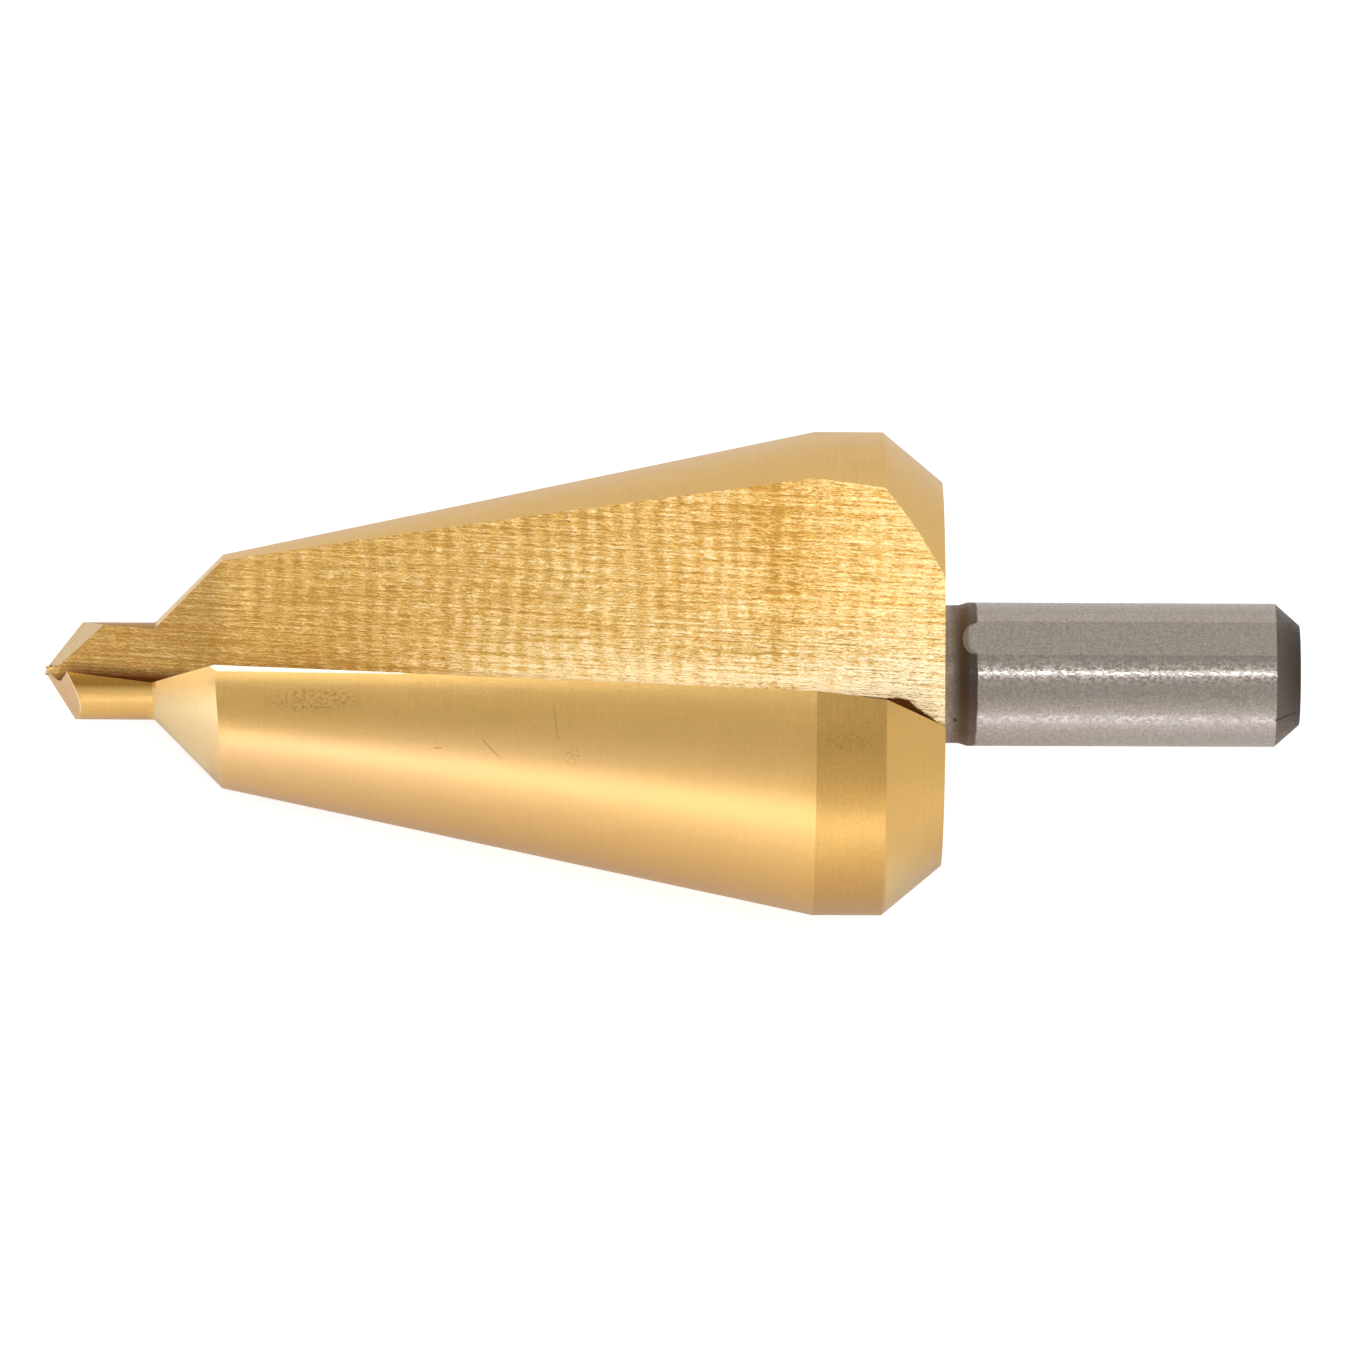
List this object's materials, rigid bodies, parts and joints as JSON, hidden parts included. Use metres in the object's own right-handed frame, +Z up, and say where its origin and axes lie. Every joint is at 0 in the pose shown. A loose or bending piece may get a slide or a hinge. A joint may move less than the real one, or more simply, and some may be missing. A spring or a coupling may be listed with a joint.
{
  "type": "cone drill bit",
  "caption": "Coated cone drill bit with straight milled flutes, a pilot point, a rear chamfer and a plain steel shank with a driving flat.",
  "frame": {"origin": "under the middle of the tool's box, on the surface that the tool rests on", "axes": "+X from the point towards the shank, level; +Z up; the tool's own axis rises about 9.8 degrees from point to shank, because the tool rests on the mouth of one flute"},
  "size_m": [0.078, 0.0304, 0.0274],
  "materials": {
    "coated_steel": "gold coated head, ground and milled, with a bare satin ground steel shank"
  },
  "bodies": {
    "root": {"cone_drill_bit": "coated_steel"}
  },
  "joints": []
}
